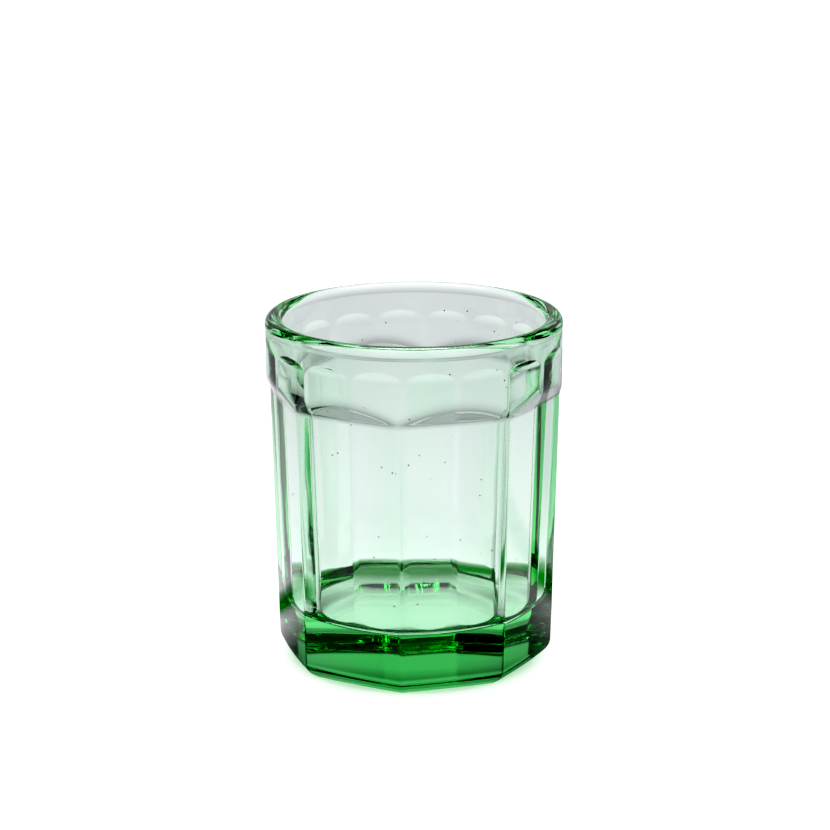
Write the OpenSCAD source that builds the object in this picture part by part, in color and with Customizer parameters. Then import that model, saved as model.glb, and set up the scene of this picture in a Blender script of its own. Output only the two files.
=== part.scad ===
// Pressed glass tumbler with facets outside and arched panels inside
//
// A hot gob of green glass is pressed between a mould, which forms the outside, and a plunger,
// which forms the cup. So the tumbler is one piece of glass, and it is drawn here as it is made:
// a blank turned in the mould, with the mould's facets cut from it, less the plunger.
//
// The glass stands on z = 0 with its axis on the z axis. One facet faces -y.

/* [Overall size] */
// Height from the table to the top of the lip
height = 95.8; // [88:0.2:110]
// Diameter over the rolled lip
mouth_d = 80; // [74:0.5:88]

/* [Lip and band] */
// Radius of the lip's round cross-section
lip_r = 2.4; // [2:0.1:3]
// How far the lip stands out from the smooth band below it
lip_step = 0.15; // [0.05:0.05:0.5]

/* [Facets outside] */
// Number of flat facets round the body
facet_count = 8; // [8:1:12]
// How deep the middle of a facet lies inside the band, at the facet's head
facet_depth = 3.5; // [2.8:0.05:4.2]
// Lean of the facets from upright, narrowing towards the foot, in degrees
facet_lean = 1.42; // [0.5:0.01:2.5]
// Distance from the top of the glass down to where the facets' heads begin to curve out
facet_drop = 22; // [18:0.2:30]
// Radius of the cove at a facet's head
facet_cove_r = 3.5; // [2:0.1:6]
// Lean of the shoulder between the cove and the band, in degrees from upright
shoulder_lean = 31; // [20:1:45]
// Width of the softened land along each upright edge between two facets
edge_land = 0.7; // [0.2:0.1:1.6]

/* [Foot] */
// How far the foot's edge lies inside the facets, measured at the table
bevel_w = 3.72; // [2.6:0.01:4.6]
// Slope of the foot's bevel above the table, in degrees
bevel_slope = 34; // [25:1:50]
// Radius that rounds the bevel into the facet
bevel_r = 4.7; // [2:0.1:6]
// Diameter of the shallow hollow under the foot
punt_d = 52; // [40:0.5:56]
// Depth of that hollow in the middle
punt_depth = 0.8; // [0.3:0.1:2]

/* [Inside of the cup] */
// Thickness of glass from the table to the cup's floor
floor_h = 15.5; // [10:0.1:20]
// Lean of the inside wall from upright, in degrees
wall_lean = 2.58; // [1.5:0.02:3.2]
// Radius of the round corner between the wall and the floor
floor_fillet = 4.5; // [3:0.1:10]

/* [Arched panels inside] */
// Number of flat panels round the inside wall
panel_count = 16; // [12:1:20]
// Width of the round land left between two panels, at their heads
land_w = 1.6; // [0.8:0.1:2.4]
// Distance from the top of the glass down to where a panel's head begins to round off
panel_drop = 10.1; // [8.4:0.1:14]
// Radius of the rounding that gives a panel its arched head
panel_head_r = 7; // [4:0.5:12]
// Turn of the plunger against the mould: from the middle of a facet to the nearest land, in degrees
plunger_turn = 1.7; // [0:0.1:11]

/* [Hidden] */

$fn = 144;

// One overrun, by which every cut passes the surface that it leaves by
overrun = lip_r;

// Outside radii and heights
mouth_r = mouth_d / 2;
band_r = mouth_r - lip_step;
lip_z = height - lip_r;
lip_axis_r = mouth_r - lip_r;
band_top_z = lip_z - sqrt(lip_r * lip_r - (band_r - lip_axis_r) * (band_r - lip_axis_r));

// The inside wall is tangent to the lip's round section at this point
wall_top_r = lip_axis_r - lip_r * cos(wall_lean);
wall_top_z = lip_z + lip_r * sin(wall_lean);

// Facets: distance from the axis to the flat, at the head and at the table
facet_head_z = height - facet_drop;
facet_head_a = band_r - facet_depth;
facet_half_angle = 180 / facet_count;

// The bevel and the facet would meet at this corner, which bevel_r rounds off
bevel_corner_z = bevel_w / (1 / tan(bevel_slope) - tan(facet_lean));
foot_a = facet_a(0) - bevel_w;
bevel_turn = 90 - bevel_slope - facet_lean;
bevel_length = bevel_corner_z / sin(bevel_slope);

// The rounding takes up no more than this share of the bevel
most_rounded_share = 0.92;
bevel_tangent = min(bevel_r * tan(bevel_turn / 2), bevel_length * most_rounded_share);
bevel_round_r = bevel_tangent / tan(bevel_turn / 2);

// Panels: half the angle that a panel takes up, from the land that is left
panel_head_z = height - panel_drop;
panel_half_angle = 180 / panel_count - asin(land_w / 2 / wall_r(panel_head_z));

// Number of rings that follow the curve of the hollow under the foot
punt_rings = 8;

// Distance from the axis to a facet's flat, at height z
function facet_a(z) = facet_head_a - (facet_head_z - z) * tan(facet_lean);

// Radius of the inside wall between the panels, at height z
function wall_r(z) = wall_top_r - (wall_top_z - z) * tan(wall_lean);

// Distance from the axis to a panel's flat, at height z
function panel_a(z) = wall_r(z) * cos(panel_half_angle);

// Radius at which a softened edge leaves the two facets beside it, at height z
function edge_r(z) = norm([facet_a(z), facet_a(z) * tan(facet_half_angle) - edge_land / 2]);

// A point at a distance from another, along a line that leans by an angle from upright
function along(from, distance, lean) = from + distance * [sin(lean), cos(lean)];

// A point at a distance to the right of another, square to such a line
function beside(from, distance, lean) = from + distance * [cos(lean), -sin(lean)];

// Copies a child round the axis
module around(count, turn) {
    for (k = [0 : count - 1])
        rotate([0, 0, turn + k * 360 / count])
            children();
}

// Stands an outline of (distance from the axis, height) upright and draws it out sideways
module upright_prism(width) {
    rotate([90, 0, 0])
        linear_extrude(height = width, center = true)
            children();
}

// Half section of the blank, before the facets and the cup: hollow foot, band and rolled lip
module blank_section() {
    punt = [for (k = [0 : punt_rings]) let (s = k / punt_rings) [s * punt_d / 2, punt_depth * (1 - s * s)]];
    difference() {
        union() {
            polygon(concat(punt, [
                [band_r, 0],
                [band_r, band_top_z],
                [wall_top_r, wall_top_z],
                [0, wall_top_z]
            ]));
            translate([lip_axis_r, lip_z])
                circle(r = lip_r);
        }
        edge_trim_section();
    }
}

// What softens the upright edges: it leaves a narrow land where two facets would meet sharply
module edge_trim_section() {
    // Along an edge the shoulder leans out further than it does along a facet's middle
    edge_lean = atan(tan(shoulder_lean) / cos(facet_half_angle));
    head = [edge_r(facet_head_z), facet_head_z];
    beyond = along(head, 2 * facet_depth / sin(edge_lean), edge_lean);
    polygon([
        [edge_r(-overrun), -overrun],
        head,
        beyond,
        [beyond[0] + overrun, beyond[1]],
        [beyond[0] + overrun, -overrun]
    ]);
}

// What the mould leaves out at one facet: bevel, flat, cove and shoulder, seen from the side
module facet_section() {
    bevel_corner = [facet_a(bevel_corner_z), bevel_corner_z];
    bevel_low = along(bevel_corner, -bevel_length - overrun, 90 - bevel_slope);
    bevel_end = along(bevel_corner, -bevel_tangent, 90 - bevel_slope);
    flat_low = along(bevel_corner, bevel_tangent, facet_lean);
    flat_high = [facet_head_a, facet_head_z];
    cove_centre = beside(flat_high, facet_cove_r, facet_lean);
    shoulder_low = beside(cove_centre, -facet_cove_r, shoulder_lean);
    shoulder_rise = max(mouth_r - shoulder_low[0], 0) / sin(shoulder_lean) + overrun;
    shoulder_high = along(shoulder_low, shoulder_rise, shoulder_lean);
    difference() {
        polygon([
            bevel_low,
            bevel_end,
            flat_low,
            flat_high,
            shoulder_low,
            shoulder_high,
            [shoulder_high[0] + overrun, shoulder_high[1]],
            [shoulder_high[0] + overrun, bevel_low[1]]
        ]);
        translate(beside(flat_low, -bevel_round_r, facet_lean))
            circle(r = bevel_round_r);
    }
    translate(cove_centre)
        circle(r = facet_cove_r);
}

// Half section of the plunger: the round wall, the corner and the flat floor of the cup
module plunger_section() {
    // Height of the corner's centre, and its distance from the axis
    corner_z = floor_h + floor_fillet;
    corner_r = wall_r(corner_z) - floor_fillet / cos(wall_lean);
    wall_low = beside([corner_r, corner_z], floor_fillet, wall_lean);
    wall_top = [wall_top_r, wall_top_z];
    polygon([
        [0, floor_h],
        [corner_r, floor_h],
        wall_low,
        wall_top,
        wall_top + [-overrun, overrun],
        [0, wall_top_z + overrun]
    ]);
    translate([corner_r, corner_z])
        circle(r = floor_fillet);
}

// What is ground off the plunger at one panel, seen from the side. It fades out in the
// corner below, and rounds off into the wall above, which gives the panel its arched head.
module panel_section() {
    outer_r = mouth_r;
    panel_lean = atan(tan(wall_lean) * cos(panel_half_angle));
    flat_low = [panel_a(0), 0];
    flat_high = [panel_a(panel_head_z), panel_head_z];
    polygon([
        flat_low,
        flat_high,
        [outer_r, panel_head_z],
        [outer_r, 0]
    ]);
    translate(beside(flat_high, panel_head_r, panel_lean))
        circle(r = panel_head_r);
}

// The outside as the mould forms it
module moulded_outside() {
    difference() {
        rotate_extrude()
            blank_section();
        around(facet_count, -90)
            upright_prism(mouth_d)
                facet_section();
    }
}

// The plunger that forms the cup, with its ring of ground flats
module plunger() {
    panel_w = 2 * wall_r(panel_head_z) * tan(180 / panel_count);
    difference() {
        rotate_extrude()
            plunger_section();
        around(panel_count, plunger_turn - 90 + 180 / panel_count)
            upright_prism(panel_w)
                panel_section();
    }
}

// The glass
module tumbler() {
    color("#8fd3a0")
        difference() {
            moulded_outside();
            plunger();
        }
}

tumbler();
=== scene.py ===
# %% [markdown]
# # A pressed green tumbler
# This lesson dresses one piece of glass. The tumbler was pressed hot between a mould, which
# made the eight facets outside, and a plunger, which made the cup with its sixteen arched
# panels. Clear glass shows every surface that it has, front and back at once, so nearly all of
# the look comes from an exact shape, an honest colour in the depth of the glass, and the light.
#
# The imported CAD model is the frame: it gives the size, and everything here stays inside it.

# %% The frame and its box
import math

import bpy
import numpy as np
from mathutils import Matrix, Vector


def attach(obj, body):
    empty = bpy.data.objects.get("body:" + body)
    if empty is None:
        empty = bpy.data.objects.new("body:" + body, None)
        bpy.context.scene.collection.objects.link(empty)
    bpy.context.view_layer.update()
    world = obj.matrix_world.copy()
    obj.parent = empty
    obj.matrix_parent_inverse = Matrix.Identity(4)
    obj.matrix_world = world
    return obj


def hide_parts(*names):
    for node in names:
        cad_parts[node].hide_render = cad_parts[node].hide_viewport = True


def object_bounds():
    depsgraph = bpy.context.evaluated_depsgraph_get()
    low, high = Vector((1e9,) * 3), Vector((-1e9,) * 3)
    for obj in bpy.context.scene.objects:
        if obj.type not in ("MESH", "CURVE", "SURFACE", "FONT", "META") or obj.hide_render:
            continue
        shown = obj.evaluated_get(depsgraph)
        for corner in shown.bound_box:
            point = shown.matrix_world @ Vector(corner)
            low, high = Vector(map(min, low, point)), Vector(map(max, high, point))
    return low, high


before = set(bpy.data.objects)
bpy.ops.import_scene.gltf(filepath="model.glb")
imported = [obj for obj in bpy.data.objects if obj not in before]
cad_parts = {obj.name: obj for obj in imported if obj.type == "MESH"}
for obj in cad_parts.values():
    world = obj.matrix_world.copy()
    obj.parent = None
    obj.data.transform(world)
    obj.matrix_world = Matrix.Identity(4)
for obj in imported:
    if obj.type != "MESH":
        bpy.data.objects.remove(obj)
cad_low, cad_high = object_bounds()
MM = 0.001
height = cad_high.z / MM
mouth_r = cad_high.x / MM
print(f"frame: {height:.1f} mm high, {2 * mouth_r:.1f} mm across, nodes {sorted(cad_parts)}")

# %% [markdown]
# ## The mould's shape
# The outside is a round band with eight facets cut into the body below it. A stack of boolean
# cuts could make it, but glass shows every uneven triangle that such cuts leave behind. So the
# shape is written as formulas and meshed in one go. Seen from the side, each facet is one line:
# a bevel up from the foot, a round turn, the tall face, a small cove and a shoulder that leans
# out to the band. The same line serves all eight, as the distance of the facet's middle from
# the axis at a height. All sizes are in millimetres.

# %% Sizes of the outside
lip_r = 2.4  # radius of the lip's round section
lip_step = 0.15  # how far the lip stands out from the band
facet_count = 8
facet_depth = 2.87  # how deep a facet's middle lies in the band, at its head
facet_lean = math.radians(1.47)
facet_drop = 22.0  # from the top of the glass to where the cove begins
cove_r = 3.5
shoulder_lean = math.radians(31)

lip_z = height - lip_r
lip_axis_r = mouth_r - lip_r
band_r = mouth_r - lip_step
head_z = height - facet_drop
head_a = band_r - facet_depth
cove_d = head_a + cove_r * math.cos(facet_lean)
cove_z = head_z - cove_r * math.sin(facet_lean)
shoulder_d = cove_d - cove_r * math.cos(shoulder_lean)
shoulder_z = cove_z + cove_r * math.sin(shoulder_lean)
half_facet = math.pi / facet_count
print(f"facets: {2 * head_a:.1f} mm across at the head, cove from {head_z:.1f} to {shoulder_z:.1f} mm")


# %% The facet's line
def facet_distance(z):
    """Distance from the axis to a facet's middle: face, then cove, then shoulder."""
    face = head_a - (head_z - z) * math.tan(facet_lean)
    arc = cove_d - np.sqrt(np.maximum(cove_r**2 - (z - cove_z) ** 2, 0))
    shoulder = shoulder_d + (z - shoulder_z) * math.tan(shoulder_lean)
    return np.where(z < head_z, face, np.where(z < shoulder_z, arc, shoulder))


facet_foot_d = float(facet_distance(np.array(0.0)))
print(f"distance to a facet's middle at the table: {facet_foot_d:.2f} mm")

# %% The bevel's round turn into the facet
bevel_w = 3.83  # how far the foot's edge lies inside the facets at the table
bevel_slope = math.radians(34)
bevel_r = 4.7

bevel_corner_z = bevel_w / (1 / math.tan(bevel_slope) - math.tan(facet_lean))
half_turn_tan = math.tan((math.pi / 2 - bevel_slope - facet_lean) / 2)
bevel_centre_d = float(facet_distance(np.array(bevel_corner_z)))
bevel_centre_d += bevel_r * (half_turn_tan * math.sin(facet_lean) - math.cos(facet_lean))
bevel_centre_z = bevel_corner_z + bevel_r * (half_turn_tan * math.cos(facet_lean) + math.sin(facet_lean))
bevel_top_z = bevel_centre_z - bevel_r * math.sin(facet_lean)
print(f"bevel: meets the facet at {bevel_corner_z:.1f} mm, and its rounding ends at {bevel_top_z:.1f} mm")

# %% [markdown]
# Seen from above, each facet bulges very slightly, as pressed glass does when it shrinks in the
# mould. The bulge is too slight for the outline, but it moves every green streak at the glass's
# sides. A crease between two surfaces is never quite sharp either: the flame that polishes a
# pressing rounds it. A bevel modifier would need clean edges to work on. Here the nearer of two
# surfaces is taken instead, with a soft change from one to the other.

# %% Facets that bulge, with softened edges between them
facet_crown_r = 180.0  # radius of a facet's slight bulge from side to side
crown_offset = facet_crown_r - head_a
edge_blend = 0.30  # mm of blend: softens each upright edge over about 0.7 mm


def smooth_min(a, b, blend):
    """The nearer of two surfaces, with their crease rounded off over the blend."""
    h = np.maximum(blend - np.abs(a - b), 0) / blend
    return np.minimum(a, b) - h * h * blend / 4


def from_middle(angle, half_pitch):
    """Angle from the middle of the nearest of some equal divisions of the circle."""
    return (angle + half_pitch) % (2 * half_pitch) - half_pitch


def bulged(distance, turn):
    """Distance from the axis to a facet that bulges, at an angle from its middle."""
    across = crown_offset * np.cos(turn)
    beside = crown_offset * np.sin(turn)
    return np.sqrt((distance + crown_offset) ** 2 - beside**2) - across


def octagon_radius(distance, angle):
    """Radius of the eight facets, with softened edges, when their middles lie at a distance."""
    turn = np.abs(from_middle(angle, half_facet))
    return smooth_min(bulged(distance, turn), bulged(distance, 2 * half_facet - turn), edge_blend)


bulge = head_a - bulged(head_a, half_facet) * math.cos(half_facet)
print(f"a facet's middle stands {bulge:.2f} mm out from the line between its edges")

# %% [markdown]
# ## Unevenness of pressed glass
# The mould and the plunger chill the glass unevenly, and it creeps about a hundredth of a
# millimetre as it sets. Nothing of that is seen in the outline, but straight streaks seen through
# two walls start to wander, and that is what tells pressed glass from cut crystal. A bump in the
# material could bend the light as well, but it would not be part of the mesh. So it is
# real shape: a sum of a few slow waves round the glass and along its height, which fade out at
# the lip and at the foot so that the surfaces still meet.

# %% Waves of about a hundredth of a millimetre
wave_height = 0.012
wave_run = 7.0  # mm over which the waves fade in and out
wave_start = 1.0  # mm above the bevel where they begin
inner_phase = 1.3  # so that the waves inside don't follow those outside
# Each wave: how many times it goes round the glass, its rate per mm of height, where it starts
WAVES = [(3, 0.11, 0.4), (5, -0.17, 1.9), (8, 0.23, 3.1), (13, 0.09, 4.4), (21, -0.31, 5.3)]


def ramp(z, start, run):
    """Rises smoothly from 0 to 1 over a run."""
    t = np.clip((z - start) / run, 0, 1)
    return t * t * (3 - 2 * t)


def waves(angle, z, phase):
    """The mean of the slow waves, from -1 to 1."""
    return sum(np.sin(n * angle + rate * z + start + phase * n) for n, rate, start in WAVES) / len(WAVES)


print(f"{len(WAVES)} waves, together up to {wave_height} mm high")

# %% The outside as one radius
head_blend = 1.2  # mm of blend where the shoulder runs out into the band
crease_blend = 0.10  # mm of blend under the lip


def outer_waves(angle, z):
    """The outside's waves, between the bevel and the lip."""
    fade = ramp(z, bevel_top_z + wave_start, wave_run) * (1 - ramp(z, lip_z - lip_r - wave_run, wave_run))
    return wave_height * fade * waves(angle, z, 0)


def outside(angle, z):
    """Radius of the outer surface from the foot's bevel up to the widest part of the lip."""
    lip = lip_axis_r + np.sqrt(np.maximum(lip_r**2 - (z - lip_z) ** 2, 0))
    band = -smooth_min(-band_r, -np.where(z > lip_z - lip_r, lip, 0), crease_blend)
    return smooth_min(octagon_radius(facet_distance(z), angle), band, head_blend) + outer_waves(angle, z)


print(f"outside at the facets' heads: {float(outside(0.0, head_z)):.2f} mm from the axis")

# %% [markdown]
# ## The plunger's shape
# The plunger is a slightly tapered round plug with sixteen flats ground on it. A grinding wheel
# leaves each flat with a rounded run-out, and where that meets the round wall it draws a small
# arch. On the glass, everything is the other way round: the panels stand a little proud of the
# wall, with narrow lands between them. Again two simple surfaces meet, a cone and a ring of
# flats, and the arches come by themselves where they cross.

# %% Sizes of the inside
wall_lean = math.radians(2.58)
panel_count = 16
land_w = 1.6  # width of the round land between two panels
panel_drop = 10.1  # from the top of the glass to where a panel's head begins to round off
panel_head_r = 7.0
plunger_turn = math.radians(1.7)  # the plunger stands a little turned in the mould
floor_z = 15.5
corner_r = 4.5  # the round corner between the wall and the floor

half_panel = math.pi / panel_count
wall_top_r = lip_axis_r - lip_r * math.cos(wall_lean)
wall_top_z = lip_z + lip_r * math.sin(wall_lean)


def wall_radius(z):
    """Radius of the round wall between the panels."""
    return wall_top_r - (wall_top_z - z) * math.tan(wall_lean)


corner_z = floor_z + corner_r
corner_d = wall_radius(corner_z) - corner_r / math.cos(wall_lean)
wall_low_z = corner_z - corner_r * math.sin(wall_lean)
print(f"cup: {2 * wall_top_r:.1f} mm wide at the lip, {2 * wall_radius(corner_z):.1f} mm at the floor")

# %% One panel, seen from the side
panel_z = height - panel_drop
flat_share = math.cos(half_panel - math.asin(land_w / 2 / wall_radius(panel_z)))
panel_lean = math.atan(math.tan(wall_lean) * flat_share)
panel_d = wall_radius(panel_z) * flat_share + panel_head_r * math.cos(panel_lean)
panel_arc_z = panel_z - panel_head_r * math.sin(panel_lean)


def panel_distance(z):
    """Distance from the axis to a panel's middle: flat, then rounding away under the lip."""
    flat = wall_radius(z) * flat_share
    arc = panel_d - np.sqrt(np.maximum(panel_head_r**2 - (z - panel_arc_z) ** 2, 0))
    return np.where(z < panel_z, flat, arc)


panel_rise = wall_radius(panel_z) * (1 - flat_share)
print(f"a panel's middle stands {panel_rise:.2f} mm out from the round wall")

# %% The inside as one radius
land_blend = 0.05  # mm of blend at the edges of the lands


def inner_waves(angle, z):
    """The inside's waves, between the floor's corner and the lip."""
    fade = ramp(z, corner_z, wave_run) * (1 - ramp(z, wall_top_z - wave_run, wave_run))
    return wave_height * fade * waves(angle, z, inner_phase)


def with_panels(round_radius, angle, z):
    """The round inside surface with the sixteen panels standing proud of it."""
    turn = np.abs(from_middle(angle - plunger_turn - half_panel, half_panel))
    distance = panel_distance(z)
    panels = smooth_min(distance / np.cos(turn), distance / np.cos(2 * half_panel - turn), land_blend)
    return smooth_min(round_radius, panels, land_blend) + inner_waves(angle, z)


def cup_wall(angle, z):
    """Radius of the inside wall with its panels."""
    return with_panels(wall_radius(z), angle, z)


wall_at_head = float(outside(0.0, head_z) - cup_wall(0.0, head_z))
print(f"wall at a facet's head: {wall_at_head:.2f} mm thick")

# %% [markdown]
# ## One grid for the whole skin
# The skin of the glass is a single sheet that starts in the middle of the underside, goes out
# over the foot, up the facets, round the lip, down the cup and ends in the middle of its floor.
# So it can be a grid: columns by angle round the axis, rows by how far along that path they lie.
# Rows and columns crowd together where the surface turns sharply, and spread out on the flats.

# %% Columns: angles that crowd at edges and lands
# Degrees to both sides of an upright edge, which is softened over one degree
EDGE_OFFSETS = np.radians([-0.62, -0.36, -0.18, 0, 0.18, 0.36, 0.62])
# Degrees to both sides of a land's middle: its own edges lie at 1.3
LAND_OFFSETS = np.radians([-2.0, -1.6, -1.3, -1.0, -0.5, 0.5, 1.0, 1.3, 1.6, 2.0])
WIDEST_COLUMN = math.radians(1.1)


def angle_columns():
    """Angles round the axis, dense at the facets' edges and at the inside lands."""
    edges = [half_facet * (2 * k + 1) for k in range(facet_count)]
    lands = [plunger_turn + 2 * half_panel * k for k in range(panel_count)]
    dense = [e + o for e in edges for o in EDGE_OFFSETS] + [c + o for c in lands for o in LAND_OFFSETS]
    dense = np.sort(np.array(dense) % (2 * math.pi))
    columns = []
    for here, following in zip(dense, np.append(dense[1:], dense[0] + 2 * math.pi)):
        steps = max(1, math.ceil((following - here) / WIDEST_COLUMN))
        columns.extend(here + (following - here) * np.arange(steps) / steps)
    return np.array(columns)


columns = angle_columns()
print(f"{len(columns)} columns")

# %% [markdown]
# ## The foot
# A pressed foot never has a sharp edge: the mould's corner is rounded, and years on tables wear it
# further. The glass stands on a narrow flat ring round a shallow hollow, so that it doesn't rock.
# From the ring a bevel rises and turns into the facets. Each stretch of the path is a function
# that gives the radius and the height of one row, at a share of the way along the stretch.

# %% Rows of the foot
punt_r = 26.0  # the shallow hollow under the foot
punt_depth = 0.8
foot_edge_r = 0.9  # rounding of the foot's edge, worn and fire-polished
edge_run = foot_edge_r * math.tan(bevel_slope / 2)
foot_d = facet_foot_d - bevel_w


def punt_row(angle, t):
    """The hollow, from the middle of the underside outwards."""
    return punt_r * t + 0 * angle, punt_depth * (1 - t * t) + 0 * angle


def foot_ring_row(angle, t):
    """The flat ring that the glass stands on."""
    return punt_r + (octagon_radius(foot_d - edge_run, angle) - punt_r) * t, 0 * angle


def foot_edge_row(angle, t):
    """The worn edge between the ring and the bevel."""
    a = bevel_slope * t
    distance = foot_d - edge_run + foot_edge_r * math.sin(a)
    return octagon_radius(distance, angle), foot_edge_r * (1 - math.cos(a)) + 0 * angle


print(f"foot: {2 * foot_d:.1f} mm across, on a ring round a hollow {2 * punt_r:.0f} mm across")


# %% Rows of the bevel
def bevel_row(angle, t):
    """The bevel's straight slope."""
    low = np.array([foot_d + edge_run * math.cos(bevel_slope), edge_run * math.sin(bevel_slope)])
    high_d = bevel_centre_d + bevel_r * math.sin(bevel_slope)
    high_z = bevel_centre_z - bevel_r * math.cos(bevel_slope)
    d, z = low + (np.array([high_d, high_z]) - low) * t
    return octagon_radius(d, angle), z + 0 * angle


def bevel_arc_row(angle, t):
    """The round turn from the bevel into the facets."""
    a = bevel_slope + (math.pi / 2 - facet_lean - bevel_slope) * t
    d = bevel_centre_d + bevel_r * math.sin(a)
    return octagon_radius(d, angle), bevel_centre_z - bevel_r * math.cos(a) + 0 * angle


print(f"bevel: from {edge_run * math.sin(bevel_slope):.2f} mm up to {bevel_top_z:.1f} mm")

# %% [markdown]
# ## Body, lip and cup
# Between the foot and the lip a row is simply a height, and the two radius functions do the rest.
# The rows need only be close together where a facet's head runs out into the band and where a
# panel ends in its arch. The lip is a half ring, rounded by the flame that polishes it.

# %% Rows of the body
arch_margin = 1.6  # mm of fine rows above the arch


def arch_top(angle):
    """Height where the shoulder reaches the band, which draws the arched head of a facet."""
    turn = from_middle(angle, half_facet)
    across = band_r + crown_offset * np.cos(turn)
    reach = np.sqrt(across**2 + (crown_offset * np.sin(turn)) ** 2) - crown_offset
    return shoulder_z + np.maximum(reach - shoulder_d, 0) / math.tan(shoulder_lean) + arch_margin


def height_row(surface, low, high):
    """A row of a surface at a height between two others, which may vary round the glass."""

    def row(angle, t):
        start = low(angle) if callable(low) else low + 0 * angle
        end = high(angle) if callable(high) else high + 0 * angle
        z = start + (end - start) * t
        return surface(angle, z), z

    return row


arch_heights = arch_top(np.array([0.0, half_facet])) - arch_margin
print(f"a facet's arch: {arch_heights[0]:.1f} mm up in its middle, {arch_heights[1]:.1f} mm at its edges")


# %% Rows of the lip and the cup
def lip_row(angle, t):
    """The lip's half ring, from its widest part over the top to the inside wall."""
    a = (math.pi - wall_lean) * t
    return lip_axis_r + lip_r * math.cos(a) + 0 * angle, lip_z + lip_r * math.sin(a) + 0 * angle


def corner_row(angle, t):
    """The round corner, in which the panels fade out."""
    a = wall_lean + (math.pi / 2 - wall_lean) * t
    z = corner_z - corner_r * math.sin(a) + 0 * angle
    return with_panels(corner_d + corner_r * math.cos(a), angle, z), z


def floor_row(angle, t):
    """The cup's flat floor, from the corner to the middle."""
    start = with_panels(corner_d + 0 * angle, angle, floor_z + 0 * angle)
    return start * (1 - t), floor_z + 0 * angle


print(f"lip: {2 * lip_r:.1f} mm thick; floor: {2 * corner_d:.1f} mm across")

# %% The whole path
head_fine_below = 0.8  # mm of fine rows below the start of the cove
panel_fine_above = 4.0  # mm of fine rows above and below the start of a panel's rounding
panel_fine_below = 1.0
crease_share = 0.75  # the crease under the lip lies this share of the lip's radius below its axis

head_start_z = head_z - head_fine_below
crease_z = lip_z - lip_r * crease_share
# Each stretch of the path, with its number of rows
PATH = [
    (punt_row, 12),
    (foot_ring_row, 4),
    (foot_edge_row, 6),
    (bevel_row, 3),
    (bevel_arc_row, 16),
    (height_row(outside, bevel_top_z, head_start_z), 16),
    (height_row(outside, head_start_z, arch_top), 30),
    (height_row(outside, arch_top, crease_z), 8),
    (height_row(outside, crease_z, lip_z), 10),
    (lip_row, 36),
    (height_row(cup_wall, wall_top_z, panel_z + panel_fine_above), 4),
    (height_row(cup_wall, panel_z + panel_fine_above, panel_z - panel_fine_below), 22),
    (height_row(cup_wall, panel_z - panel_fine_below, wall_low_z), 16),
    (corner_row, 20),
    (floor_row, 5),
]
places = [stretch + step / steps for stretch, (_, steps) in enumerate(PATH) for step in range(steps)][1:]
print(f"{len(places)} rows, {len(places) * len(columns)} faces")

# %% [markdown]
# ## Normals from the shape itself
# A renderer bends each ray of light at the surface's normal, and through two walls a small error
# in it grows into a visible kink. Smooth shading would work the normals out from the faces around
# each point. Here they come from the formulas: two small steps along the skin, one each way, and
# the direction square to both. They are kept as an attribute of plain numbers, which is finer
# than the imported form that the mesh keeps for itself.

# %% Points and normals of the skin
NUDGE = 1e-4  # a small step: radians round the glass, or a share of a stretch of the path


def skin_point(angle, path):
    """Points of the skin, for columns of angles and one place along the path."""
    stretch = min(int(path), len(PATH) - 1)
    r, z = PATH[stretch][0](angle, path - stretch)
    return np.stack([r * np.sin(angle), -r * np.cos(angle), z], axis=-1)


def skin_normal(angle, path):
    """The outward normal, from small steps along both directions of the grid."""
    across = skin_point(angle + NUDGE, path) - skin_point(angle - NUDGE, path)
    along = skin_point(angle, path + NUDGE) - skin_point(angle, max(path - NUDGE, int(path)))
    n = np.cross(across, along)
    return n / np.linalg.norm(n, axis=-1, keepdims=True)


lip_middle = [row for row, _ in PATH].index(lip_row) + 0.5
print("normal halfway round the lip:", skin_normal(np.array([0.0]), lip_middle).round(2)[0])


# %% Faces of the grid
def grid_faces(rows, count):
    """Quads between rows of points that close round the axis, and a fan at each end."""
    here = np.arange(count)
    following = (here + 1) % count
    under, top = rows * count, rows * count + 1
    faces = []
    for row in range(rows - 1):
        a, b = row * count, (row + 1) * count
        faces.extend(zip(a + here, a + following, b + following, b + here))
    last = (rows - 1) * count
    faces.extend(zip(np.full(count, under), following, here))
    faces.extend(zip(np.full(count, top), last + here, last + following))
    return [tuple(map(int, face)) for face in faces]


print(f"a grid of 2 rows and 4 columns would have {len(grid_faces(2, 4))} faces")


# %% The tumbler
def build_skin(name):
    """Makes the closed mesh of the glass from the grid of rows and columns."""
    points = [skin_point(columns, p) for p in places] + [[[0, 0, punt_depth]], [[0, 0, floor_z]]]
    normals = [skin_normal(columns, p) for p in places] + [[[0, 0, -1.0]], [[0, 0, 1.0]]]
    mesh = bpy.data.meshes.new(name)
    mesh.from_pydata((np.concatenate(points) * MM).tolist(), [], grid_faces(len(places), len(columns)))
    mesh.validate()
    mesh.polygons.foreach_set("use_smooth", [True] * len(mesh.polygons))
    exact = mesh.attributes.new("custom_normal", "FLOAT_VECTOR", "POINT")
    exact.data.foreach_set("vector", np.concatenate(normals).astype(np.float32).ravel())
    piece = bpy.data.objects.new(name, mesh)
    bpy.context.scene.collection.objects.link(piece)
    return piece


glass = build_skin("tumbler_glass")
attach(glass, "root")
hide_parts("tumbler")
print(f"{len(glass.data.vertices)} vertices, {len(glass.data.polygons)} faces")

# %% [markdown]
# ## Colours and nodes
# A material is a small graph of nodes. One function adds a node with its settings and gives each
# input a number, a colour or a link, so a material reads as a list of its nodes. Colours are
# written as the display shows them and turned into amounts of light, which is what a renderer
# works with.


# %% Helpers for colours and nodes
def display_to_linear(v):
    """Display value from 0 to 1, as light."""
    return v / 12.92 if v <= 0.04045 else ((v + 0.055) / 1.055) ** 2.4


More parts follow.
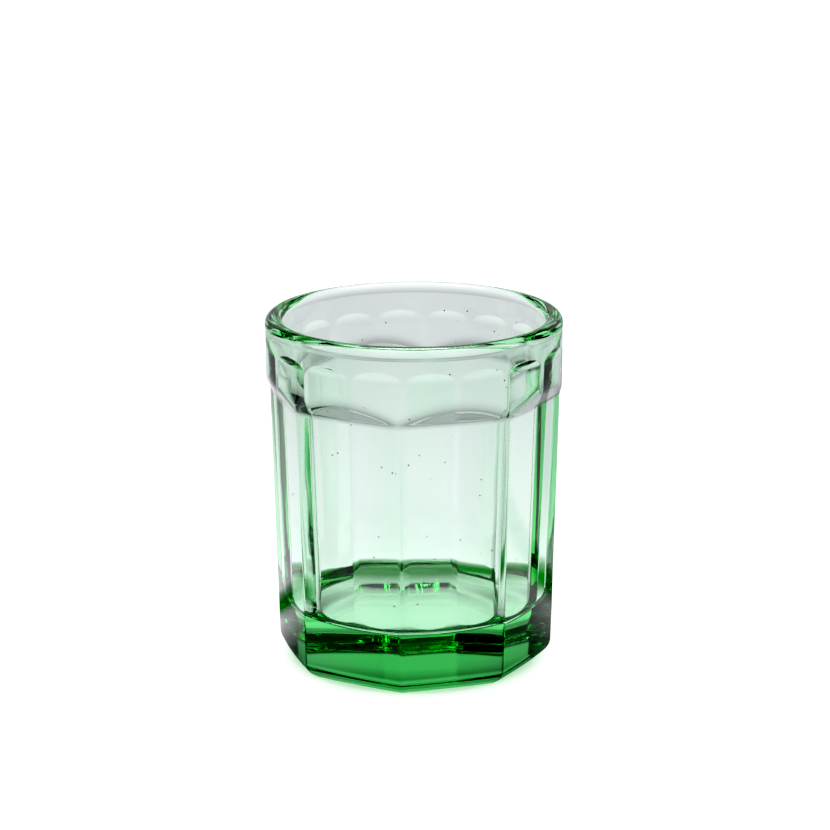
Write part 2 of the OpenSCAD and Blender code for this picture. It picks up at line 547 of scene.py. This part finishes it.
def linear(code):
    """Turns an sRGB hex colour into linear RGBA."""
    return [display_to_linear(int(code[i : i + 2], 16) / 255) for i in (1, 3, 5)] + [1.0]


def add_node(tree, kind, inputs, stops=(), **settings):
    """Adds a node with its settings; an input is a value, a socket, or a node's first output in use.

    The stops of a colour ramp are (position, grey level) or (position, hex colour).
    """
    node = tree.nodes.new(kind)
    for name, value in settings.items():
        setattr(node, name, value)
    for name, value in inputs.items():
        if isinstance(value, bpy.types.Node):
            value = next(socket for socket in value.outputs if socket.enabled)
        if isinstance(value, bpy.types.NodeSocket):
            tree.links.new(value, node.inputs[name])
        else:
            node.inputs[name].default_value = value
    for _ in stops[2:]:
        node.color_ramp.elements.new(1.0)
    for index, (position, shade) in enumerate(stops):
        element = node.color_ramp.elements[index]
        element.position = position
        element.color = linear(shade) if isinstance(shade, str) else [shade, shade, shade, 1.0]
    return node


def new_tree(owner):
    """Gives a material or a world an empty node tree."""
    owner.use_nodes = True
    owner.node_tree.nodes.clear()
    return owner.node_tree


print("mid grey on the display is", round(linear("#808080")[0], 3), "as light")

# %% [markdown]
# ## Specks in the glass
# A pressing always holds a few dark specks of scale from the mould. They could be small meshes,
# but they are no pieces of their own. A Voronoi texture scatters points at a chosen mean
# distance, and gives every place its distance to the nearest one: what lies closer than a speck's
# radius is dark. The photo shows none in the foot and the lip, so these stay clear.

# %% Specks
speck_cell = 4.8  # mm between the points that may become specks
speck_r = 0.25  # mm
speck_core_share = 0.7  # the share of a speck's radius inside which it is fully dark
speck_bottom, speck_top = 18.0, 89.0  # mm above the table
mould_scale = "#0c120d"
clear_glass = "#ffffff"


def speckled(tree, place):
    """The surface's tint: clear, but for the specks between two heights."""
    cells = add_node(tree, "ShaderNodeTexVoronoi", {"Vector": place, "Scale": 1 / (speck_cell * MM)})
    edge = {"From Min": speck_core_share * speck_r / speck_cell, "From Max": speck_r / speck_cell}
    clear = add_node(tree, "ShaderNodeMapRange", {"Value": cells.outputs["Distance"]} | edge)
    rise = add_node(tree, "ShaderNodeSeparateXYZ", {"Vector": place}).outputs["Z"]
    lip = add_node(tree, "ShaderNodeMath", {0: rise, 1: speck_top * MM}, operation="GREATER_THAN")
    foot = add_node(tree, "ShaderNodeMath", {0: rise, 1: speck_bottom * MM}, operation="LESS_THAN")
    ends = add_node(tree, "ShaderNodeMath", {0: lip, 1: foot}, operation="MAXIMUM")
    spotless = add_node(tree, "ShaderNodeMath", {0: clear, 1: ends}, operation="MAXIMUM")
    tints = {"Factor": spotless, "A": linear(mould_scale), "B": linear(clear_glass)}
    return add_node(tree, "ShaderNodeMix", tints, data_type="RGBA")


print(f"specks: {2 * speck_r} mm across, from {speck_bottom:.0f} to {speck_top:.0f} mm above the table")

# %% [markdown]
# ## Pressed soda-lime glass
# The colour of green bottle glass comes from iron in the melt. It sits in the depth of the glass,
# not on its surface: a thin wall looks almost clear and the thick foot looks deep green. A tint
# on the surface would colour both alike. So the surface is colourless and smooth, and the colour
# is the absorption of the volume, which takes red away fastest, then blue. A pressing is
# fire-polished, which leaves a faint orange peel. It is kept much flatter than a finger could
# feel, because two walls with four surfaces bend the light again and again.

# %% The glass
glass_ior = 1.52  # soda-lime glass
iron_green = "#38ea86"  # what the melt lets through best
# Per metre: each colour is lost at this rate times one minus its share in iron_green
absorption_density = 30.0
peel_size = 2.2  # mm from bump to bump of the orange peel
peel_height = 0.00006  # mm


def pressed_glass():
    """Pressed soda-lime glass, iron green, fire-polished."""
    material = bpy.data.materials.new("pressed soda-lime glass")
    tree = new_tree(material)
    place = add_node(tree, "ShaderNodeTexCoord", {}).outputs["Object"]
    pattern = {"Vector": place, "Scale": 1 / (peel_size * MM), "Detail": 1.0}
    peel = add_node(tree, "ShaderNodeTexNoise", pattern)
    bump = add_node(tree, "ShaderNodeBump", {"Height": peel, "Distance": peel_height * MM})
    surface = add_node(
        tree,
        "ShaderNodeBsdfPrincipled",
        {
            "Base Color": speckled(tree, place),
            "Normal": bump,
            "IOR": glass_ior,
            "Roughness": 0.0,
            "Transmission Weight": 1.0,
        },
    )
    melt = {"Color": linear(iron_green), "Density": absorption_density}
    depth = add_node(tree, "ShaderNodeVolumeAbsorption", melt)
    add_node(tree, "ShaderNodeOutputMaterial", {"Surface": surface, "Volume": depth})
    return material


glass.data.materials.append(pressed_glass())
kept = [math.exp(-absorption_density * (1 - share) * floor_z * MM) for share in linear(iron_green)[:3]]
print("shares of red, green and blue left after the base:", [round(share, 2) for share in kept])

# %% [markdown]
# ## The camera
# The camera stands 0.8 m away and a little to the left of one facet, looking down by 15 degrees
# through a long lens, so the upright edges stay nearly parallel. It could be placed by eye, but
# what is seen through glass changes with every degree. So its place was worked out from where the
# rim, the edges and the foot lie in the photo.

# %% Camera
photo_px = 830
photo_focal_px = 2994.0
sensor_width = 36.0  # mm
camera_turn = math.radians(-16.36)
camera_reach = 780.0
camera_height = 283.0
camera_tilt = math.radians(15.45)
camera_pan = math.radians(0.015)
camera_roll = math.radians(-0.17)
nearest_seen = 10.0  # mm


def camera_axes():
    """The camera's right, up and backward directions, tilted down and rolled a little."""
    heading = camera_pan - camera_turn
    level = np.array([math.sin(heading), math.cos(heading), 0])
    aim = level * math.cos(camera_tilt) - np.array([0, 0, math.sin(camera_tilt)])
    side = np.cross(level, [0, 0, 1.0])
    up = np.cross(side, aim)
    rolled_side = math.cos(camera_roll) * side + math.sin(camera_roll) * up
    rolled_up = math.cos(camera_roll) * up - math.sin(camera_roll) * side
    return Matrix([rolled_side, rolled_up, -aim]).transposed()


def make_camera():
    """A camera on the photo's side of the glass."""
    data = bpy.data.cameras.new("camera")
    data.sensor_width = sensor_width
    data.lens = photo_focal_px * sensor_width / photo_px
    data.clip_start = nearest_seen * MM
    camera = bpy.data.objects.new("camera", data)
    beside = camera_reach * math.sin(camera_turn)
    before = camera_reach * math.cos(camera_turn)
    camera.location = Vector((beside, -before, camera_height)) * MM
    camera.rotation_euler = camera_axes().to_euler()
    bpy.context.scene.collection.objects.link(camera)
    bpy.context.scene.camera = camera
    return camera


camera = make_camera()
print(f"camera: lens {camera.data.lens:.1f} mm, {camera_reach:.0f} mm from the axis")

# %% [markdown]
# ## Table and room
# Glass has no colour of its own to show, only what it bends towards the eye. So the room matters
# as much as the glass. Clear glass is often photographed on a sheet of white acrylic that is lit
# from below as well as from above. Behind it stands a pale wall, and the rest of the room is
# darker, which draws the dark lines along every edge. Where the camera sees the sheet and the
# wall directly, they are plain white. Lamps under a real sheet could do this too, but each would
# bring noise, and a light that is written by place and direction can be set where it counts.

# %% Helpers for light that depends on place or direction
tint_lift = 1.06  # makes up for the light that the tint takes
# The picture's white balance takes some of the glass's green away
ROOM_TINT = [tint_lift * part for part in linear("#fdf5ff")[:3]]


def turned_to_camera(tree, vector):
    """A place or direction as (to the right, away, up), seen from the photo's side of the glass."""
    turn = {"Vector": vector, "Angle": -camera_turn}
    turned = add_node(tree, "ShaderNodeVectorRotate", turn, rotation_type="Z_AXIS")
    return add_node(tree, "ShaderNodeSeparateXYZ", {"Vector": turned}).outputs


print("room's tint:", [round(part, 2) for part in ROOM_TINT])

# %% [markdown]
# The sheet's own light is a pool. Along the line from the camera it is fair at the far front, weak
# just before the glass, brightest right under it, and fades slowly behind it. To both sides it
# falls to about two thirds, and the pool widens as it goes back.

# %% The pool of light
pool_front, pool_back = -400.0, 1000.0  # mm, the stretch that the next list spans
POOL_ALONG = [
    (0.00, 0.60),
    (0.15, 0.50),
    (0.20, 0.40),
    (0.243, 0.28),
    (0.268, 0.34),
    (0.278, 1.22),
    (0.307, 1.20),
    (0.335, 1.00),
    (0.346, 0.95),
    (0.357, 0.93),
    (0.414, 0.84),
    (0.500, 0.66),
    (0.643, 0.60),
    (0.929, 0.50),
]
POOL_ACROSS = [(0.0, 1.0), (0.28, 0.96), (0.50, 0.72), (1.0, 0.62)]
pool_half_width = 220.0  # mm beside the glass
pool_widening = 0.75  # mm of half width more for each mm behind the glass


def share_of_pool(tree, away):
    """How far back a place lies, as a share of the pool's length."""
    span = {"From Min": pool_front * MM, "From Max": pool_back * MM}
    return add_node(tree, "ShaderNodeMapRange", {"Value": away} | span)


def pool_light(tree, right, away):
    """Strength of the sheet's own light before anything shades it."""
    widening = add_node(tree, "ShaderNodeMath", {0: away, 1: pool_widening}, operation="MULTIPLY")
    wider = add_node(tree, "ShaderNodeMath", {0: widening, 1: 0.0}, operation="MAXIMUM")
    half_width = add_node(tree, "ShaderNodeMath", {0: wider, 1: pool_half_width * MM}, operation="ADD")
    beside = add_node(tree, "ShaderNodeMath", {0: right}, operation="ABSOLUTE")
    across = add_node(tree, "ShaderNodeMath", {0: beside, 1: half_width}, operation="DIVIDE")
    long_way = add_node(tree, "ShaderNodeValToRGB", {"Fac": share_of_pool(tree, away)}, POOL_ALONG)
    wide_way = add_node(tree, "ShaderNodeValToRGB", {"Fac": across}, POOL_ACROSS)
    return add_node(tree, "ShaderNodeMath", {0: long_way, 1: wide_way}, operation="MULTIPLY")


print(f"pool: from {-pool_front:.0f} mm before the glass to {pool_back:.0f} mm behind it")

# %% [markdown]
# The glass shades its own table. On the camera's side a dark ring lies under the bevel and fades
# out before it, which draws the foot's dark green. Close behind the glass falls the light that
# came through the foot: a strip of deep green, which shows again as the green line at the back of
# the cup's floor. A renderer could find both by tracing caustics, but that takes very long to
# clear of noise. So both are drawn where they lie.

# %% Shade of the foot
shadow_span = 100.0  # mm from the axis that the next list spans
POOL_SHADOW = [(0.0, 1.0), (0.26, 1.0), (0.28, 0.04), (0.36, 0.04), (0.60, 0.12), (0.90, 0.80), (1.0, 1.0)]
ring_fade = 25.0  # mm behind the axis over which the dark ring ends
# Where the painted strip of green light from the foot lies, as a share of the pool's length
THROUGH_THE_FOOT = [(0.0, 0.0), (0.303, 0.0), (0.307, 1.0), (0.315, 1.0), (0.320, 0.0)]
# colour of the painted green light behind the foot
painted_light_green = "#0c7a22"
acrylic_white = "#b2b4b5"  # darker than the real sheet, because most of its light is its own


def dark_ring(tree, away, from_axis):
    """The share of the sheet's own light that the foot leaves."""
    ring = add_node(tree, "ShaderNodeValToRGB", {"Fac": from_axis}, POOL_SHADOW)
    fade = {"From Min": ring_fade * MM, "From Max": 0.0, "To Min": 0.0}
    before = add_node(tree, "ShaderNodeMapRange", {"Value": away} | fade)
    return add_node(tree, "ShaderNodeMix", {"Factor": before, "A": 1.0, "B": ring}, data_type="FLOAT")


def with_painted_green_strip(tree, away, plain):
    """A colour of the sheet, painted green where the light that came through the foot falls."""
    strip = add_node(tree, "ShaderNodeValToRGB", {"Fac": share_of_pool(tree, away)}, THROUGH_THE_FOOT)
    colours = {"Factor": strip, "A": plain, "B": linear(painted_light_green)}
    return add_node(tree, "ShaderNodeMix", colours, data_type="RGBA")


print(f"shade: {shadow_span:.0f} mm round the axis, on the camera's side")

# %% [markdown]
# What the camera sees directly is another matter: the table is white, and only close round the
# foot a painted glow of pale green, a little darker than the white, stands for the light and shade
# that the glass throws there. The Light Path node tells the two cases apart.

# %% The white acrylic sheet
seen_white = 1.02  # strength of what the camera sees directly, just over white
# Colour of the sheet as seen, by the distance from the axis as a share of the shadow's span:
# a painted pale green glow and shade round the foot, then white
SEEN_COLOURS_WITH_PAINTED_GLOW = [
    (0.0, "#bdd8c0"),
    (0.325, "#bdd8c0"),
    (0.345, "#e3efe4"),
    (0.37, "#f7f9f7"),
    (0.50, "#ffffff"),
]


def white_acrylic():
    """Cast white acrylic, matt and lit from below, that scatters light softly; round the foot it has painted
    shadow, painted green light and a painted green glow.
    """
    material = bpy.data.materials.new("white acrylic sheet")
    tree = new_tree(material)
    place = add_node(tree, "ShaderNodeTexCoord", {}).outputs["Object"]
    right, away, _ = turned_to_camera(tree, place)
    reach = add_node(tree, "ShaderNodeVectorMath", {0: place}, operation="LENGTH")
    from_axis = add_node(tree, "ShaderNodeMath", {0: reach, 1: shadow_span * MM}, operation="DIVIDE")
    light = {0: pool_light(tree, right, away), 1: dark_ring(tree, away, from_axis)}
    hidden_light = add_node(tree, "ShaderNodeMath", light, operation="MULTIPLY")
    # the sheet's own light is painted green in the strip behind the foot
    hidden_colour = with_painted_green_strip(tree, away, ROOM_TINT + [1.0])
    # painted pale green glow and shade round the foot, where the camera sees the sheet
    seen_colour_with_painted_glow = add_node(tree, "ShaderNodeValToRGB", {"Fac": from_axis}, SEEN_COLOURS_WITH_PAINTED_GLOW)
    seen = add_node(tree, "ShaderNodeLightPath", {}).outputs["Is Camera Ray"]
    strengths = {"Factor": seen, "A": hidden_light, "B": seen_white}
    strength = add_node(tree, "ShaderNodeMix", strengths, data_type="FLOAT")
    colours = {"Factor": seen, "A": hidden_colour, "B": seen_colour_with_painted_glow}
    colour = add_node(tree, "ShaderNodeMix", colours, data_type="RGBA")
    own_light = add_node(tree, "ShaderNodeEmission", {"Color": colour, "Strength": strength})
    # the sheet's own colour is painted green there too, for the light that came through the foot
    sheet_colour = with_painted_green_strip(tree, away, linear(acrylic_white))
    sheet = add_node(tree, "ShaderNodeBsdfDiffuse", {"Color": sheet_colour})
    both = add_node(tree, "ShaderNodeAddShader", {0: own_light, 1: sheet})
    add_node(tree, "ShaderNodeOutputMaterial", {"Surface": both})
    return material


acrylic = white_acrylic()
print(f"{acrylic.name}: {len(acrylic.node_tree.nodes)} nodes")

# %% The table
table_r = 2600.0
table_sides = 96
table_gap = 0.03  # mm between the glass and the table, so that the two faces don't coincide
bpy.ops.mesh.primitive_circle_add(
    vertices=table_sides, radius=table_r * MM, fill_type="NGON", location=(0, 0, -table_gap * MM)
)
table = bpy.context.object
table.name = "table"
table.data.materials.append(acrylic)
print(f"table: {2 * table_r * MM:.1f} m across")

# %% [markdown]
# The room is a sphere of light given by direction. A picture of a real room could stand in for
# it, but then its wall and its lights could not be set one by one. Each list gives the light by
# the sine of the elevation: for the pale wall behind the glass, the sides, and the camera's side.

# %% The room
WALL_LIGHT = [(0.0, 0.68), (0.10, 0.62), (0.20, 0.50), (0.28, 0.90), (0.38, 0.90), (0.52, 0.22), (1.0, 0.16)]
SIDE_LIGHT = [(0.0, 0.02), (0.30, 0.02), (0.60, 0.05), (1.0, 0.16)]
CAMERA_SIDE_LIGHT = [(0.0, 0.30), (0.20, 0.26), (0.50, 0.15), (1.0, 0.18)]
WALL_SPREAD = (0.55, 0.92)  # cosines of the angle from straight away, where the wall begins and is full


def room_light(tree, away, rise):
    """Light from a direction: the wall behind, the camera's side, and the sides between them."""
    spread = {"From Min": WALL_SPREAD[0], "From Max": WALL_SPREAD[1]}
    soft = {"interpolation_type": "SMOOTHSTEP"}
    behind = add_node(tree, "ShaderNodeMapRange", {"Value": away} | spread, **soft)
    towards = add_node(tree, "ShaderNodeMath", {0: away, 1: -1.0}, operation="MULTIPLY")
    before = add_node(tree, "ShaderNodeMapRange", {"Value": towards} | spread, **soft)
    side = add_node(tree, "ShaderNodeValToRGB", {"Fac": rise}, SIDE_LIGHT)
    near = add_node(tree, "ShaderNodeValToRGB", {"Fac": rise}, CAMERA_SIDE_LIGHT)
    wall = add_node(tree, "ShaderNodeValToRGB", {"Fac": rise}, WALL_LIGHT)
    dark = add_node(tree, "ShaderNodeMix", {"Factor": before, "A": side, "B": near}, data_type="FLOAT")
    return add_node(tree, "ShaderNodeMix", {"Factor": behind, "A": dark, "B": wall}, data_type="FLOAT")


def make_room():
    """A world whose light depends on direction, and which the camera itself sees as white."""
    world = bpy.data.worlds.new("room")
    bpy.context.scene.world = world
    tree = new_tree(world)
    direction = add_node(tree, "ShaderNodeTexCoord", {}).outputs["Generated"]
    _, away, rise = turned_to_camera(tree, direction)
    seen = add_node(tree, "ShaderNodeLightPath", {}).outputs["Is Camera Ray"]
    strengths = {"Factor": seen, "A": room_light(tree, away, rise), "B": seen_white}
    strength = add_node(tree, "ShaderNodeMix", strengths, data_type="FLOAT")
    background = add_node(tree, "ShaderNodeBackground", {"Color": ROOM_TINT + [1.0], "Strength": strength})
    add_node(tree, "ShaderNodeOutputWorld", {"Surface": background})
    return world


room = make_room()
print(f"{room.name}: {len(room.node_tree.nodes)} nodes, pale wall behind, darker at the sides")

# %% [markdown]
# A softbox hangs over the table, a little behind the glass. A bare bulb would draw hard shadows
# and a small hot spot. A wide lamp lights the lip from above, shows in it as a long soft line,
# and gives the sheet a soft shadow.

# %% The softbox
# Its place and where it points, in mm: to the right of the glass, behind it, above the table
softbox_place = (0, 250, 750)
softbox_aim = (0, 0, 90)
softbox_size = (480, 240)  # mm
softbox_watts = 2.2


def make_softbox(name):
    """A rectangular area light, placed as seen from the camera's side of the glass."""
    data = bpy.data.lights.new(name, "AREA")
    data.shape = "RECTANGLE"
    data.size, data.size_y = (side * MM for side in softbox_size)
    data.energy = softbox_watts
    data.color = ROOM_TINT
    lamp = bpy.data.objects.new(name, data)
    turn = Matrix.Rotation(camera_turn, 3, "Z")
    lamp.location = turn @ (Vector(softbox_place) * MM)
    direction = turn @ (Vector(softbox_aim) - Vector(softbox_place))
    lamp.rotation_euler = direction.to_track_quat("-Z", "Y").to_euler()
    lamp.visible_camera = False
    bpy.context.scene.collection.objects.link(lamp)
    return lamp


softbox = make_softbox("softbox over the table")
print(f"{softbox.name}: {softbox_watts} W, {softbox.location.z:.2f} m up")

# %% [markdown]
# ## How the picture is developed
# The photo was developed with deep blacks: its thickest greens have no red left at all. Less
# light would darken the white table too. So one curve moves the black point up and leaves white
# where it is.

# %% Colour management
black_point = 0.19  # share of the display's scale that turns black
# Display values at which the curve is pinned, closer together in the dark part
CURVE_PINS = [0.0, 0.08, 0.16, 0.26, 0.38, 0.52, 0.68, 0.84, 1.0]
COMBINED_CURVE = 3  # the curves before it are for red, green and blue alone


def develop(view):
    """Moves the black point up, by a curve on the scene's light."""
    view.view_transform = "Standard"
    view.use_curve_mapping = True
    curve = view.curve_mapping.curves[COMBINED_CURVE]
    while len(curve.points) < len(CURVE_PINS) + 1:
        curve.points.new(0.5, 0.5)
    curve.points[0].location = (0, 0)
    for point, pin in zip(list(curve.points)[1:], CURVE_PINS):
        point.location = (display_to_linear(black_point + pin * (1 - black_point)), display_to_linear(pin))
    view.curve_mapping.update()
    return curve


curve = develop(bpy.context.scene.view_settings)
print(f"curve with {len(curve.points)} points, black below {black_point} of the display's scale")

# %% [markdown]
# A ray that enters the cup's wall may meet eight or ten surfaces before it leaves the glass. With
# the usual few bounces it would end inside and turn black, so glass gets many, and the matt
# sheet, where a few are enough, gets few.

# %% Light paths
glass_bounces = 24
mirror_bounces = 12
matt_bounces = 4

cycles = bpy.context.scene.cycles
cycles.max_bounces = glass_bounces
cycles.transmission_bounces = glass_bounces
cycles.glossy_bounces = mirror_bounces
cycles.diffuse_bounces = matt_bounces
print(f"bounces: {glass_bounces} through glass, {mirror_bounces} off it, {matt_bounces} off the table")
